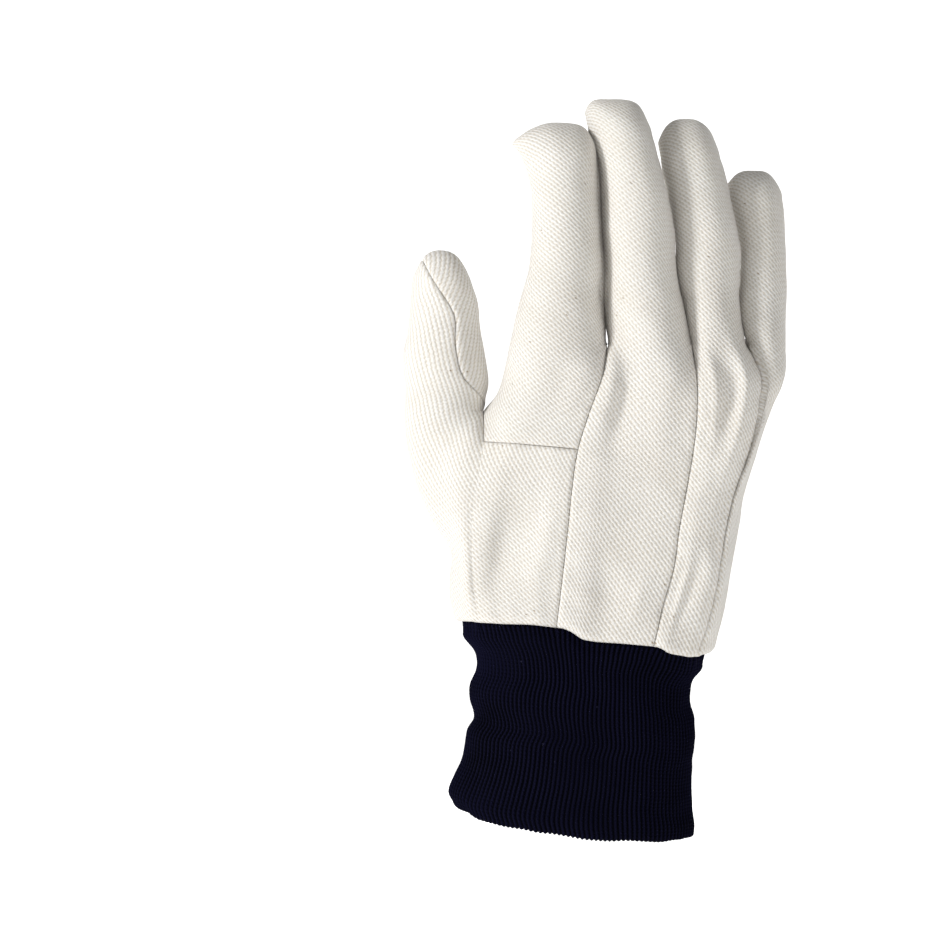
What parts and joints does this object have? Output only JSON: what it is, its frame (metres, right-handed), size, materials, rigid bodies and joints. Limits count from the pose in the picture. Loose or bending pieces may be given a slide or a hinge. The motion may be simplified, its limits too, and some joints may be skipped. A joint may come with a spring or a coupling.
{
  "type": "cotton work glove",
  "caption": "Right-hand cotton drill work glove with a ribbed knit wrist, sewn from panels, kept in the shape it has when worn",
  "frame": {"origin": "centre of the wrist opening, level with the mean height of the cuff hem", "axes": "+Z from the wrist to the fingertips, the back of the hand faces -Y and the palm +Y, the thumb lies at -X"},
  "size_m": [0.1386, 0.0556, 0.2666],
  "materials": {
    "cotton_drill": "matte napped cotton twill, natural off-white",
    "rib_knit": "matte ribbed cotton knit, dark navy"
  },
  "bodies": {
    "root": {"palm_panel": "cotton_drill", "thumb_back_panel": "cotton_drill", "thumb_inner_panel": "cotton_drill", "middle_back_panel": "cotton_drill", "ring_back_panel": "cotton_drill", "knit_cuff": "rib_knit"}
  },
  "joints": []
}
